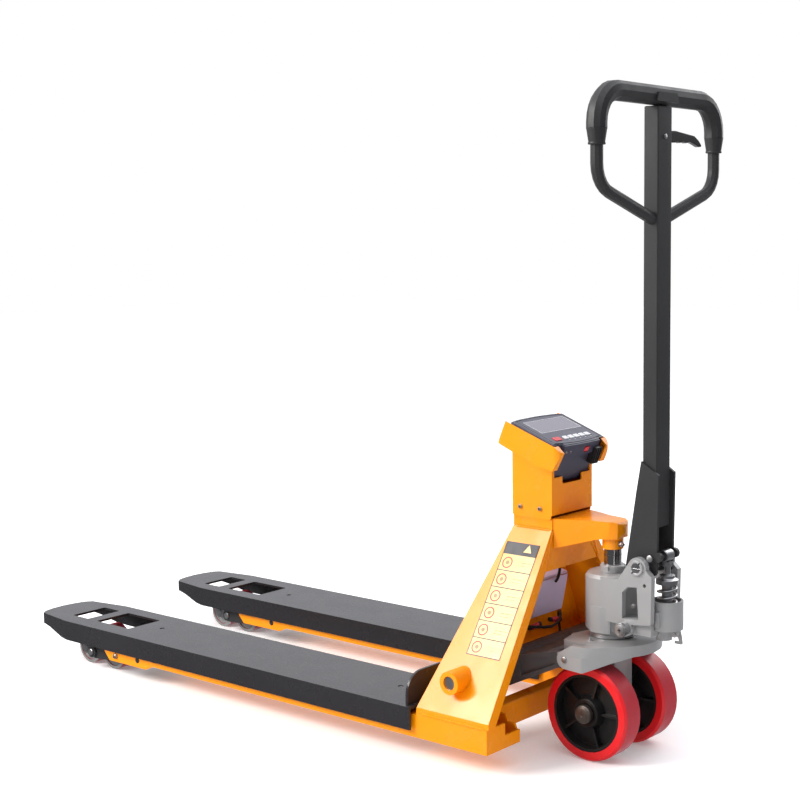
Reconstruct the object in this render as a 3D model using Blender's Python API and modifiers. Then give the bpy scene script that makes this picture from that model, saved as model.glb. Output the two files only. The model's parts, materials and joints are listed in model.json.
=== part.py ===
"""A hand pallet truck with a weigh scale built in: a pump unit with two steering wheels and a drawbar,
a base plate, and a lifting chassis with two weighing forks and a tilted indicator.

Lengths are in millimetres and become metres where a mesh is made. +X points to the drawbar and -X to the
fork tips. X is measured from the steering axis, Y from the middle and Z from the floor."""

import math

import bmesh
import bpy
from mathutils import Matrix, Vector

MM = 0.001
STEER_X = 638.0  # from the middle of the object's length to the steering axis

# Steering wheels
WHEEL_R, WHEEL_IN, WHEEL_OUT = 90.0, 38.0, 88.0
AXLE_Z, AXLE_R = 90.0, 12.5

# Base plate and the pins that carry the rocker's arms
BASE_TOP, BASE_UNDER, BASE_HALF = 220.0, 200.0, 112.0
LINK_X, LINK_Z, LINK_R = -30.5, 191.0, 5.0
EAR_IN, EAR_R = 101.5, 17.0

# Pump
PUMP_R, PUMP_BOTTOM, PUMP_TOP, PISTON_R = 51.0, 228.5, 340.0, 16.5
PIVOT_X, PIVOT_Z, PIVOT_R = 86.0, 366.0, 10.4
CHEEK_OUT, CHEEK_IN = 50.0, 38.0
PLUNGER_X, CUP_R, CUP_RIM = 119.0, 30.0, 303.0
ROLLER_X, ROLLER_Z, ROLLER_R = 117.0, 385.0, 11.0
RELEASE_X, RELEASE_Z = 138.0, 243.0

# Drawbar
TUBE_X, TUBE_HALF_X, TUBE_HALF_Y = 94.5, 15.0, 23.0
TUBE_BOTTOM, TUBE_TOP = 436.0, 1185.5
LOOP_HALF, LOOP_TOP, LOOP_R, GRIP_R = 190.0, 1203.8, 11.0, 17.9
LOOP_CORNER, LOOP_BEND, LOOP_FOOT = 56.0, 1045.0, 990.0
GRIP_END, GRIP_TAPER = 1112.0, 1137.0
LEVER_Z = 1132.4

# Rocker, about the shaft between the two posts
SHAFT_X, SHAFT_Z, SHAFT_R = -177.0, 157.7, 12.6
CRANK_X, CRANK_Z = -166.6, 125.3

# A-frame: the outer face of a post falls outwards, and its two edges spread, below its top
POST_TOP_Y, POST_TOP_Z = 62.0, 415.0
POST_LEAN, POST_FRONT_LEAN, POST_REAR_LEAN = 0.654, 0.04, 0.213
POST_FRONT, POST_REAR, POST_DEEP, POST_WALL = -95.6, -185.3, 22.0, 6.0
POST_FOOT = 89.3

# Forks
FORK_OUT, FORK_IN = 278.4, 112.0
DECK_TOP, DECK_SHEET, SKIRT_BOTTOM = 100.5, 5.0, 57.0
DECK_BEVEL, DECK_HEEL = -1300.0, -261.5
CHANNEL_OUT, CHANNEL_IN, CHANNEL_WALL = 268.0, 122.0, 5.0
CHANNEL_BOTTOM, CHANNEL_TOP, HEEL_TOP, FRAME_END = 42.0, 84.0, 89.0, -87.0
BRACKET_X, BRACKET_Z = -1061.8, 48.0
BOGIE_X, BOGIE_Z, LOAD_R, LOAD_GAP = -1228.0, 38.0, 38.0, 42.5
PIN_SLACK = 1.63  # half of how far the front pin rises and falls against the push rod

# Indicator: the middle of its sloping face, and the slope
FACE = Vector((-126.0, 0.0, 595.9))
FACE_TILT = math.atan(0.371)

YELLOW = (0.95, 0.46, 0.01)
CHARCOAL = (0.035, 0.035, 0.038)
DECK_GREY = (0.055, 0.055, 0.065)
SILVER = (0.62, 0.62, 0.62)
STEEL = (0.55, 0.55, 0.56)
RED = (0.65, 0.015, 0.02)
BLACK = (0.015, 0.015, 0.015)


def clear_scene():
    for obj in list(bpy.data.objects):
        bpy.data.objects.remove(obj)
    for name in ("pallet_scale", "cutters"):
        bpy.context.scene.collection.children.link(bpy.data.collections.new(name))


def to_object(bm, name):
    """Turns millimetres from the steering axis into metres from the middle, and faces the surface out."""
    bmesh.ops.transform(bm, matrix=Matrix.Scale(MM, 4) @ Matrix.Translation((STEER_X, 0, 0)), verts=bm.verts)
    bmesh.ops.remove_doubles(bm, verts=bm.verts, dist=1e-6)
    bmesh.ops.recalc_face_normals(bm, faces=bm.faces)
    mesh = bpy.data.meshes.new(name)
    bm.to_mesh(mesh)
    bm.free()
    obj = bpy.data.objects.new(name, mesh)
    bpy.data.collections["cutters"].objects.link(obj)
    obj.hide_render = True
    obj.display_type = "WIRE"
    return obj


def turned(axis):
    """The turn that lays the Z axis along another axis."""
    quarter = math.pi / 2
    turns = {"z": Matrix(), "x": Matrix.Rotation(quarter, 4, "Y"), "y": Matrix.Rotation(-quarter, 4, "X")}
    return turns[axis]


def box(x, y, z, bevel=0.0, turn=None):
    bm = bmesh.new()
    size = [abs(side[1] - side[0]) for side in (x, y, z)]
    middle = [(side[0] + side[1]) / 2 for side in (x, y, z)]
    bmesh.ops.create_cube(bm, size=1.0, matrix=Matrix.Translation(middle) @ Matrix.Diagonal((*size, 1)))
    if bevel:
        bmesh.ops.bevel(bm, geom=bm.edges[:], offset=bevel, segments=2, affect="EDGES", profile=0.5)
    if turn:
        bmesh.ops.transform(bm, matrix=turn, verts=bm.verts)
    return to_object(bm, "box")


def rod(axis, centre, radius, ends, sides=24, radius_end=None):
    """A cylinder along an axis between two positions on it. The centre gives the other two coordinates."""
    bm = bmesh.new()
    length = ends[1] - ends[0]
    second = radius if radius_end is None else radius_end
    bmesh.ops.create_cone(bm, cap_ends=True, segments=sides, radius1=radius, radius2=second, depth=length)
    bmesh.ops.transform(bm, matrix=turned(axis), verts=bm.verts)
    middle = Vector(centre)
    middle["xyz".index(axis)] = (ends[0] + ends[1]) / 2
    bmesh.ops.translate(bm, vec=middle, verts=bm.verts)
    return to_object(bm, "rod")


def evaluated(temporary):
    """A bmesh of what a temporary object makes, after which the object is gone."""
    bpy.context.scene.collection.objects.link(temporary)
    graph = bpy.context.evaluated_depsgraph_get()
    mesh = bpy.data.meshes.new_from_object(temporary.evaluated_get(graph))
    bm = bmesh.new()
    bm.from_mesh(mesh)
    bmesh.ops.remove_doubles(bm, verts=bm.verts, dist=1e-4)
    bpy.data.objects.remove(temporary)
    return bm


def prism(axis, outline, ends, turn=None):
    """A flat outline pushed along an axis: (x, z) points along y, (y, z) along x or (x, y) along z."""
    curve = bpy.data.curves.new("outline", "CURVE")
    curve.dimensions = "2D"
    curve.fill_mode = "BOTH"
    curve.extrude = abs(ends[1] - ends[0]) / 2
    spline = curve.splines.new("POLY")
    spline.points.add(len(outline) - 1)
    for point, (u, v) in zip(spline.points, outline):
        point.co = (u, v, 0, 1)
    spline.use_cyclic_u = True
    bm = evaluated(bpy.data.objects.new("outline", curve))
    middle = (ends[0] + ends[1]) / 2
    for vert in bm.verts:
        u, v, w = vert.co
        w += middle
        vert.co = {"z": (u, v, w), "y": (u, w, v), "x": (w, u, v)}[axis]
    if turn:
        bmesh.ops.transform(bm, matrix=turn, verts=bm.verts)
    return to_object(bm, "prism")


def lathe(axis, centre, profile, steps=36):
    """A profile of (radius, position along the axis) turned about an axis through the centre. It is closed,
    unless it starts and ends on the axis."""
    mesh = bpy.data.meshes.new("profile")
    points = [(radius, 0, along) for radius, along in profile]
    edges = [(i, i + 1) for i in range(len(points) - 1)]
    if profile[0][0] > 0:
        edges.append((len(points) - 1, 0))
    mesh.from_pydata(points, edges, [])
    turning = bpy.data.objects.new("profile", mesh)
    screw = turning.modifiers.new("turn", "SCREW")
    screw.steps = screw.render_steps = steps
    screw.use_merge_vertices = True
    screw.merge_threshold = 1e-4
    bm = evaluated(turning)
    bmesh.ops.transform(bm, matrix=Matrix.Translation(centre) @ turned(axis), verts=bm.verts)
    return to_object(bm, "lathe")


def tube(points, radius, smoothness=3):
    curve = bpy.data.curves.new("path", "CURVE")
    curve.dimensions = "3D"
    curve.bevel_depth = radius
    curve.bevel_resolution = smoothness
    curve.use_fill_caps = True
    spline = curve.splines.new("POLY")
    spline.points.add(len(points) - 1)
    for point, place in zip(spline.points, points):
        point.co = (*place, 1)
    return to_object(evaluated(bpy.data.objects.new("path", curve)), "tube")


def combine(target, others, operation):
    for other in others:
        modifier = target.modifiers.new(operation.lower(), "BOOLEAN")
        modifier.operation = operation
        modifier.solver = "EXACT"
        modifier.object = other
    return target


def cut(target, *others):
    return combine(target, others, "DIFFERENCE")


def add(target, *others):
    return combine(target, others, "UNION")


def keep_inside(target, other):
    return combine(target, (other,), "INTERSECT")


def node(obj, name, colour, roughness=0.45, metallic=0.0, origin=(0.0, 0.0, 0.0)):
    """Moves a finished shape into the object's collection, with its material and its origin on its axis."""
    place = (Vector(origin) + Vector((STEER_X, 0, 0))) * MM
    obj.data.transform(Matrix.Translation(-place))
    obj.location = place
    obj.name = name
    obj.data.name = name
    bpy.data.collections["cutters"].objects.unlink(obj)
    bpy.data.collections["pallet_scale"].objects.link(obj)
    obj.hide_render = False
    obj.display_type = "TEXTURED"
    material = bpy.data.materials.new(name)
    material.use_nodes = True
    shader = material.node_tree.nodes["Principled BSDF"]
    shader.inputs["Base Color"].default_value = (*colour, 1)
    shader.inputs["Roughness"].default_value = roughness
    shader.inputs["Metallic"].default_value = metallic
    obj.data.materials.append(material)
    return obj


def across(side, near, far):
    """A range of Y on one side of the middle."""
    return sorted((side * near, side * far))


def arc(centre, radius, start, end, steps):
    """Points on an arc, with its angles in degrees."""
    angles = [math.radians(start + (end - start) * i / steps) for i in range(steps + 1)]
    return [(centre[0] + radius * math.cos(a), centre[1] + radius * math.sin(a)) for a in angles]


def rounded(corners, radius, steps=4):
    """An outline with each corner replaced by an arc that touches both of its sides."""
    outline = []
    for i, corner in enumerate(corners):
        here = Vector(corner)
        before = (Vector(corners[i - 1]) - here).normalized()
        after = (Vector(corners[(i + 1) % len(corners)]) - here).normalized()
        half = before.angle(after) / 2
        reach = radius / math.tan(half)
        middle = here + (before + after).normalized() * radius / math.sin(half)
        first, last = here + before * reach - middle, here + after * reach - middle
        turn = first.angle_signed(last)
        for step in range(steps + 1):
            spoke = first.copy()
            spoke.rotate(Matrix.Rotation(-turn * step / steps, 2))
            outline.append(tuple(middle + spoke))
    return outline


# ---------------------------------------------------------------- steering wheels and base


def make_wheels():
    shoulder = WHEEL_R - 4.5
    for side, name in ((-1, "right"), (1, "left")):
        origin = (0, side * 63, AXLE_Z)
        tyre = [(72.3, WHEEL_IN), (shoulder, WHEEL_IN), (WHEEL_R, WHEEL_IN + 4.5), (WHEEL_R, WHEEL_OUT - 4.5),
                (shoulder, WHEEL_OUT), (72.3, WHEEL_OUT)]
        tyre = lathe("y", (0, 0, AXLE_Z), [(r, side * y) for r, y in tyre], 40)
        node(tyre, f"steer_tyre_{name}", RED, 0.35, origin=origin)
        rim = [(AXLE_R + 0.4, 40), (30, 40), (32, 56), (65, 58), (67, 39), (72, 39), (72, 87), (67, 87),
               (65, 68),
               (32, 70), (27, 86), (AXLE_R + 0.4, 86)]
        hub = lathe("y", (0, 0, AXLE_Z), [(r, side * y) for r, y in rim], 24)
        for index in range(5):
            turn = Matrix.Translation((0, 0, AXLE_Z)) @ Matrix.Rotation(math.radians(72 * index + 18), 4, "Y")
            for near, far in ((46, 60), (64, 79)):
                add(hub, box((-2.4, 2.4), across(side, near, far), (27, 68), turn=turn))
        node(hub, f"steer_hub_{name}", BLACK, 0.5, origin=origin)


def make_axle():
    half = [(0, -99), (15.5, -99), (17.5, -97), (17.5, -88.6), (AXLE_R, -88.6)]
    profile = half + [(r, -y) for r, y in reversed(half)]
    node(lathe("y", (0, 0, AXLE_Z), profile, 28), "wheel_axle", (0.2, 0.17, 0.15), 0.4, 1.0, (0, 0, AXLE_Z))
    column = box((-25, 25), (-30, 30), (72, 196), 4)
    add(column, rod("z", (0, 0, 0), 26, (190, 228.2)), rod("y", (0, 0, AXLE_Z), 28, (-34, 34)))
    cut(column, rod("y", (0, 0, AXLE_Z), AXLE_R + 0.4, (-40, 40), 28))
    node(column, "wheel_column", SILVER, 0.4, 0.6)


def make_base_plate():
    """A plate with a round front and a deep rim, notched at the back for the rocker's arms, with an ear at
    each side that holds a link pin."""
    front = [(30, 99), (50, 80), (66, 66), (78, 50), (88, 27), (92, 0)]
    half = [(-53, 0), (-63, 38), (-49.5, 90), (-46, BASE_HALF), (8, BASE_HALF)] + front
    plate = prism("z", half + [(x, -y) for x, y in reversed(half[1:-1])], (BASE_UNDER, BASE_TOP))
    inner = [(4, 99.5), (23, 89), (41, 71), (56, 57), (67, 43), (76, 23), (80, 0)]
    rim_half = [(4, BASE_HALF - 0.2), (8, BASE_HALF - 0.2)] + [(x * 0.998, y * 0.998) for x, y in front]
    rim = rim_half + [(x, -y) for x, y in reversed(rim_half[:-1])]
    rim += [(x, -y) for x, y in inner[:-1]] + list(reversed(inner))
    skirt = prism("z", rim, (170, BASE_UNDER + 6))
    cut(skirt, prism("y", [(-20, 160), (-20, 172), (10, 172.5), (50, 190), (81, 201), (110, 201), (110, 160)],
                     (-130, 130)))
    add(plate, skirt)
    for side in (-1, 1):
        cut(plate, box((-80, 2), across(side, 85, EAR_IN - 0.2), (160, 230)))
        ear = arc((LINK_X, LINK_Z), EAR_R, 135, 270, 8) + [(6, 172), (6, 216), (-16, 216)]
        add(plate, prism("y", ear, across(side, EAR_IN - 0.2, BASE_HALF - 0.1)))
        cut(plate, prism("y", [(-60, 198), (-42, 203.4), (-14, BASE_TOP + 1), (-60, 230)], across(side,
                                                                                                  90, 116)))
        add(plate, rod("y", (LINK_X, 0, LINK_Z), LINK_R, across(side, 85, 105), 20))
        add(plate, rod("y", (LINK_X, 0, LINK_Z), 6.4, across(side, 108, 113), 20))
    cut(plate, rod("z", (0, 0, 0), 28, (150, 230), 32))
    node(plate, "base_plate", SILVER, 0.42, 0.5)
    bearing = [(28.5, 220.3), (41, 220.3), (42, 221.3), (42, 227.2), (41, 228.2), (28.5, 228.2)]
    node(lathe("z", (0, 0, 0), bearing, 30), "thrust_bearing", BLACK, 0.35, 0.8)


# ---------------------------------------------------------------- pump


def make_pump_housing():
    body = lathe("z", (0, 0, 0), [(0, PUMP_BOTTOM), (44, PUMP_BOTTOM), (46, 232), (PUMP_R, 237), (PUMP_R,
                                                                                                  334),
                                  (PUMP_R - 5, PUMP_TOP), (0, PUMP_TOP)], 30)
    add(body, box((10, 110), (-39, 39), (239, 264.6), 2))
    cheek = [(6, 258), (60, 258), (113, 264), (115.6, 268), (117.3, 352)]
    cheek += arc((PIVOT_X, PIVOT_Z), 18.7, -8, 150, 10) + [(49, 345), (44, 339), (6, 339)]
    for side in (-1, 1):
        add(body, prism("y", cheek, across(side, CHEEK_IN, CHEEK_OUT)))
    add(body, rod("y", (60, 0, 251), 15, (-50, 50), 24))
    add(body, rod("z", (PLUNGER_X, 0, 0), CUP_R, (250, CUP_RIM), 26), rod("z", (113, 0, 0), 15, (229,
                                                                                                 252), 20))
    for side in (-1, 1):
        add(body, box((PLUNGER_X - 4, PLUNGER_X + 4), across(side, CUP_R - 4, CUP_R + 4), (258, 286), 1))
        patch = box((-17, 26), across(side, 30, 60), (234, 283))
        add(body, keep_inside(patch, rod("z", (0, 0, 0), PUMP_R + 3, (230, 290), 30)))
    lug = [(118, 238), (RELEASE_X, 236), (143, 239), (144, 247), (142, 256), (118, 256)]
    add(body, prism("y", lug, (-4, 4)))
    cut(body, rod("z", (PLUNGER_X, 0, 0), CUP_R - 4, (256, 310), 26))
    window = [(54, 269), (89.4, 270.8), (85.8, 330.3), (65, 328.2), (54, 317)]
    cut(body, prism("y", window, (-60, 60)))
    cut(body, rod("y", (102.2, 0, 335.4), 3.5, (-60, 60), 14))
    cut(body, rod("y", (RELEASE_X, 0, RELEASE_Z), 2.9, (-10, 10), 14))
    cut(body, rod("y", (PIVOT_X, 0, PIVOT_Z), PIVOT_R + 0.4, (-60, 60), 24))
    cut(body, rod("z", (0, 0, 0), PISTON_R + 0.5, (234, 345), 28))
    node(body, "pump_housing", SILVER, 0.4, 0.5)


def make_pump_parts():
    bore = PISTON_R + 0.5
    gland = lathe("z", (0, 0, 0), [(bore, 340.3), (24, 340.3), (24, 352), (22, 354), (bore, 354)], 28)
    for index in range(4):
        turn = Matrix.Rotation(math.radians(90 * index + 20), 4, "Z")
        cut(gland, box((21.5, 27), (-3, 3), (345, 356), turn=turn))
    node(gland, "cylinder_gland", SILVER, 0.3, 0.8)
    pin = rod("y", (PIVOT_X, 0, PIVOT_Z), PIVOT_R, (-53, 53), 24)
    for side in (-1, 1):
        cut(pin, box((PIVOT_X - 14, PIVOT_X + 14), across(side, 51.6, 54), (PIVOT_Z - 1, PIVOT_Z + 1)))
    node(pin, "handle_pivot_pin", STEEL, 0.3, 1.0, (PIVOT_X, 0, PIVOT_Z))
    profile = [(0, 300), (9, 300), (10, 302), (10, 333), (20.8, 333), (20.8, 341), (14, 344), (14, 349),
               (6, 350),
               (6, 366), (0, 366)]
    stem = lathe("z", (PLUNGER_X, 0, 0), profile, 24)
    add(stem, rod("z", (PLUNGER_X, 0, 0), 9.6, (365, 373.5), 6))
    node(stem, "pump_plunger", STEEL, 0.3, 1.0, (PLUNGER_X, 0, 333))
    coil = []
    coils, per_turn, wire = 5.5, 10, 2.2
    low, high = 256.4 + wire, 332.6 - wire
    for step in range(int(coils * per_turn) + 1):
        turn = step / per_turn
        angle = 2 * math.pi * turn
        coil.append((PLUNGER_X + 18 * math.cos(angle), 18 * math.sin(angle),
                     low + (high - low) * turn / coils))
    node(tube(coil, wire, 1), "return_spring", STEEL, 0.3, 1.0, (PLUNGER_X, 0, 256))
    blade = [(133, 248), (143, 248), (146, 238), (148, 224), (143.5, 223), (140, 234), (134, 239)]
    lever = prism("y", blade, (4.4, 8.4))
    add(lever, rod("y", (RELEASE_X, 0, RELEASE_Z), 2.5, (-6, 7), 14), box((132, 147), (4.4, 8.4), (222.5,
                                                                                                   228), 1))
    node(lever, "release_lever", SILVER, 0.4, 0.6, (RELEASE_X, 0, RELEASE_Z))
    plug = rod("y", (60, 0, 251), 12.5, (-66, -50.3), 24)
    cut(plug, rod("y", (60, 0, 251), 5, (-70, -61), 6))
    node(plug, "valve_plug", STEEL, 0.3, 1.0, (60, -58, 251))


# ---------------------------------------------------------------- drawbar


def loop_path(bend, corner, end):
    """The centre line of the handle loop from its middle at the top down to a height, in X and both Y."""
    side = LOOP_HALF
    points = arc((-side + corner, LOOP_TOP - corner), corner, 90, 180, 7)
    if end > LOOP_BEND + bend:
        points.append((-side, end))
    else:
        slope = math.atan2(LOOP_BEND - LOOP_FOOT, side - TUBE_HALF_Y)
        lift = bend * math.tan((math.pi / 2 - slope) / 2)
        points += arc((-side + bend, LOOP_BEND + lift), bend, 180, 270 - math.degrees(slope), 5)
        points.append((-18, LOOP_FOOT - 5 * math.tan(slope)))
    path = [(TUBE_X + 1, y, z) for y, z in points]
    return [(x, -y, z) for x, y, z in reversed(path)] + path


def make_drawbar():
    origin = (PIVOT_X, 0, PIVOT_Z)
    outline = [(71, 504), (48.3, 364), (49.5, 355), (57, 350.5), (70, 353)]
    outline += arc((PIVOT_X, PIVOT_Z), 18, -130, -40, 5)
    outline += [(110, 350.5), (114, 355), (115, 400), (117.5, 534), (80.7, 556.5)]
    bracket = prism("y", outline, (-29.3, 29.3))
    inside = [(20, 330), (150, 330), (150, 600), (60, 600), (60, 521), (77.6, 521), (58.6, 395), (20, 395)]
    cut(bracket, prism("y", inside, (-TUBE_HALF_Y - 0.3, TUBE_HALF_Y + 0.3)))
    for side in (-1, 1):
        add(bracket, rod("y", (PIVOT_X, 0, PIVOT_Z), 17, across(side, 23.6, 37.6), 24))
        add(bracket, rod("y", (ROLLER_X, 0, ROLLER_Z), 9, across(side, 23.6, 31.5), 18))
    cut(bracket, rod("y", (PIVOT_X, 0, PIVOT_Z), PIVOT_R + 0.4, (-45, 45), 24))
    add(bracket, rod("y", (ROLLER_X, 0, ROLLER_Z), 4.5, (-28, 28), 14))
    node(bracket, "drawbar_bracket", CHARCOAL, 0.45, 0.2, origin)
    front, back = TUBE_X + TUBE_HALF_X, TUBE_X - TUBE_HALF_X
    mast = box((back, front), (-TUBE_HALF_Y, TUBE_HALF_Y), (TUBE_BOTTOM, TUBE_TOP), 2.5)
    cut(mast, box((back + 3, front - 3), (-20, 20), (TUBE_BOTTOM - 5, TUBE_TOP - 4)))
    cut(mast, box((TUBE_X - 7, TUBE_X + 7), (10, 30), (LEVER_Z - 23, LEVER_Z + 27)))
    add(mast, rod("x", (0, 0, LEVER_Z), 3.0, (back - 0.6, front + 0.6), 14))
    node(mast, "drawbar_tube", CHARCOAL, 0.45, 0.2, origin)
    loop = tube(loop_path(50, LOOP_CORNER, 0), LOOP_R, 3)
    cut(loop, box((60, 130), (-TUBE_HALF_Y - 0.3, TUBE_HALF_Y + 0.3), (940, 1060)))
    node(loop, "handle_loop", CHARCOAL, 0.45, 0.2, origin)
    grip = tube(loop_path(50, LOOP_CORNER, GRIP_TAPER), GRIP_R, 3)
    for side in (-1, 1):
        add(grip, rod("z", (TUBE_X + 1, side * LOOP_HALF, 0), 13.8, (GRIP_END, GRIP_TAPER + 2), 16,
                      GRIP_R + 0.2))
    add(grip, prism("x", [(-30, 1208), (-36, 1192), (36, 1192), (30, 1208)], (TUBE_X - 19.5, TUBE_X + 21.5)))
    cut(grip, tube(loop_path(50, LOOP_CORNER, GRIP_END - 15), LOOP_R + 0.4, 3))
    node(grip, "handle_grip", CHARCOAL, 0.6, origin=origin)
    wheel = [(4.9, -12), (9.5, -12), (ROLLER_R, -10.5), (ROLLER_R, 10.5), (9.5, 12), (4.9, 12)]
    node(lathe("y", (ROLLER_X, 0, ROLLER_Z), wheel, 24), "pump_roller", STEEL, 0.25, 1.0, (ROLLER_X, 0,
                                                                                           ROLLER_Z))
    profile = [(-11, 1139), (-11, 1126), (14, 1124), (51.3, 1124.4), (60, 1126.6), (68, 1124.6), (78, 1127.4),
               (88.4, 1125), (98, 1127.8), (112.2, 1125.5), (132.3, 1119.9), (139, 1120.6), (140.4, 1123.5),
               (130, 1132), (115.9, 1139.1), (51.4, 1145.4), (14, 1144)]
    lever = prism("x", profile, (TUBE_X - 5, TUBE_X + 5))
    cut(lever, rod("x", (0, 0, LEVER_Z), 3.4, (80, 110), 14))
    node(lever, "hand_lever", BLACK, 0.4, origin=(TUBE_X, 0, LEVER_Z))


# ---------------------------------------------------------------- lifting frame


def post_face(z, inset=0.0):
    """How far out a post's outer face is at a height, or a plane that lies an inset inside it."""
    return POST_TOP_Y + (POST_TOP_Z - z) * POST_LEAN - inset * math.hypot(1, POST_LEAN)


def make_posts():
    drop = POST_TOP_Z - POST_FOOT + 20
    foot = -drop * math.hypot(1, POST_LEAN)
    front, rear = POST_FRONT + drop * POST_FRONT_LEAN, POST_REAR - drop * POST_REAR_LEAN
    wall = POST_WALL
    plate = [(POST_REAR + 4, 22), (POST_FRONT - 0.5, 22), (front, foot), (rear, foot)]
    pocket = [(POST_REAR + 2, -10), (POST_FRONT - wall, -10), (front - wall, foot - 5), (rear + wall,
                                                                                         foot - 5)]
    for side, name in ((-1, "right"), (1, "left")):
        turn = Matrix.Translation((0, side * POST_TOP_Y, POST_TOP_Z))
        turn = turn @ Matrix.Rotation(side * math.atan(POST_LEAN), 4, "X")
        post = prism("y", plate, across(-side, 0, POST_DEEP), turn)
        cut(post, prism("y", pocket, across(-side, wall, POST_DEEP + 5), turn))
        add(post, rod("y", (SHAFT_X, 0, SHAFT_Z), 21.5, across(side, 199.5, 265), 28))
        cut(post, box((-300, -40), across(side, 150, 400), (20, POST_FOOT)))
        cut(post, box((-300, -40), across(side, CHANNEL_OUT, 400), (20, 140)))
        cut(post, box((-300, -40), across(side, -10, 200), (POST_TOP_Z, 500)))
        cut(post, rod("y", (SHAFT_X, 0, SHAFT_Z), SHAFT_R + 0.4, across(side, 180, 300), 24))
        node(post, f"frame_post_{name}", YELLOW, 0.3)
    shaft = rod("y", (SHAFT_X, 0, SHAFT_Z), SHAFT_R, (-262, 262), 24)
    node(shaft, "rocker_shaft", STEEL, 0.35, 1.0, (SHAFT_X, 0, SHAFT_Z))


def make_top_box():
    low = 340.0
    half = [(post_face(low, POST_DEEP) - 0.5, low),
            (post_face(POST_TOP_Z, POST_DEEP) - 0.5, POST_TOP_Z + 0.2),
            (61.5, POST_TOP_Z + 0.6), (61.5, 434), (58.5, 437)]
    block = prism("x", [(-y, z) for y, z in half] + list(reversed(half)), (-185, -95))
    hollow = [(-78, low - 5), (-47, 385), (47, 385), (78, low - 5)]
    cut(block, prism("x", hollow, (-179, -101)))
    side_view = [(-104, 436), (-94, 436.6), (12, 437), (21, 435), (26, 430), (27.5, 424), (27.5, 415),
                 (22, 405), (-13, 403), (-67, 388), (-97, 380)]
    plan = [(-97, 60), (-60, 48), (-29, 34), (8, 27), (22, 17), (28.5, 0)]
    plan += [(x, -y) for x, y in reversed(plan[:-1])]
    arm = keep_inside(prism("y", side_view, (-70, 70)), prism("z", plan, (370, 450)))
    cut(arm, box((-120, -93.6), (-70, 70), (370, POST_TOP_Z + 0.8)))
    add(block, arm, box((-98, -90), (-34, 34), (388, 418)), rod("z", (0, 0, 0), 20, (384, 406), 28))
    node(block, "frame_top_box", YELLOW, 0.3)
    node(rod("z", (0, 0, 0), PISTON_R, (236, 383.7), 28), "lift_piston", STEEL, 0.15, 1.0)


def panel_turn(bottom):
    """Lays a shape, drawn in X across the panel and its height, against the rear edges of the posts."""
    start = POST_REAR - (POST_TOP_Z - bottom) * POST_REAR_LEAN
    return Matrix.Translation((start, 0, bottom)) @ Matrix.Rotation(math.atan(POST_REAR_LEAN), 4, "Y")


def make_back_panel():
    top, bottom = 331.0, 95.0
    length = (top - bottom) * math.hypot(1, POST_REAR_LEAN)
    half = [(post_face(bottom, POST_DEEP) - 1, 0), (post_face(top, POST_DEEP) - 1, length)]
    sheet = [(-y, z) for y, z in half] + list(reversed(half))
    node(prism("x", sheet, (6, 11), panel_turn(bottom)), "frame_back_panel", YELLOW, 0.3)
    turn = panel_turn(234)
    case = box((11.3, 47), (-20, 80), (0, 82), 3, turn)
    add(case, box((46, 51), (-16, 76), (4, 78), 1.5, turn))
    for y in (-8, 68):
        cut(case, box((50, 53), (y - 3, y + 3), (38, 44), turn=turn))
    node(case, "junction_box", (0.62, 0.6, 0.7), 0.45)


def make_heel_beam():
    beam = box((-172, -140), (-170.7, 170.7), (50, 96), 2.5)
    cut(beam, box((-167, -145), (-160, 160), (40, 91)))
    node(beam, "heel_beam", YELLOW, 0.3)


def make_channel(side, name):
    wall, inner, outer = CHANNEL_WALL, CHANNEL_IN, CHANNEL_OUT
    view = [(-1182, CHANNEL_TOP), (-1175, 50), (-1158, 32), (-1035, 32), (-1010, CHANNEL_BOTTOM),
            (FRAME_END, CHANNEL_BOTTOM), (FRAME_END, HEEL_TOP), (-262, HEEL_TOP), (-266, CHANNEL_TOP)]
    channel = prism("y", view, across(side, inner, outer))
    cut(channel, box((-1200, -262), across(side, inner + wall, outer - wall), (20, CHANNEL_TOP - wall + 0.5)))
    cut(channel, box((-1200, -1010), across(side, inner + wall, outer - wall), (70, 95)))
    cut(channel, box((-263, FRAME_END - 5), across(side, inner + wall, outer - wall), (47, 100)))
    cut(channel, box((-173, -60), across(side, inner - 10, inner + wall + 1), (47, 100)))
    cut(channel, box((-140, -60), across(side, inner - 10, 171), (30, 100)))
    cut(channel, box((-400, -255), across(side, inner - 10, outer + 10), (85.6, 100)))
    add(channel, box((-136, FRAME_END), across(side, 171, 176), (CHANNEL_BOTTOM, HEEL_TOP)))
    step = [(-120, HEEL_TOP + 5), (-112, 76), (-97, 76), (-93, 66), (-80, 66), (-80, HEEL_TOP + 5)]
    cut(channel, prism("y", step, across(side, 160, 215)))
    cut(channel, rod("y", (BRACKET_X, 0, BRACKET_Z), 6.5, across(side, inner - 5, outer + 5), 18))
    node(channel, f"fork_channel_{name}", YELLOW, 0.3)


# ---------------------------------------------------------------- forks


def deck_outline(inset):
    """The plan of a deck, with a blunt rounded tip, as (X, distance from the middle)."""
    out, inn = FORK_OUT - inset, FORK_IN + inset
    tip = [(-1404, 263), (-1415, 250), (-1422, 225), (-1425, 195), (-1422, 165), (-1415, 141), (-1404, 128)]
    centre = Vector((-1340, 195))
    tip = [tuple(Vector(p) + (centre - Vector(p)).normalized() * inset) for p in tip]
    heel = DECK_HEEL + 10 * inset
    return [(heel, inn), (heel, out), (DECK_BEVEL, out)] + tip + [(DECK_BEVEL, inn)]


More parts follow.
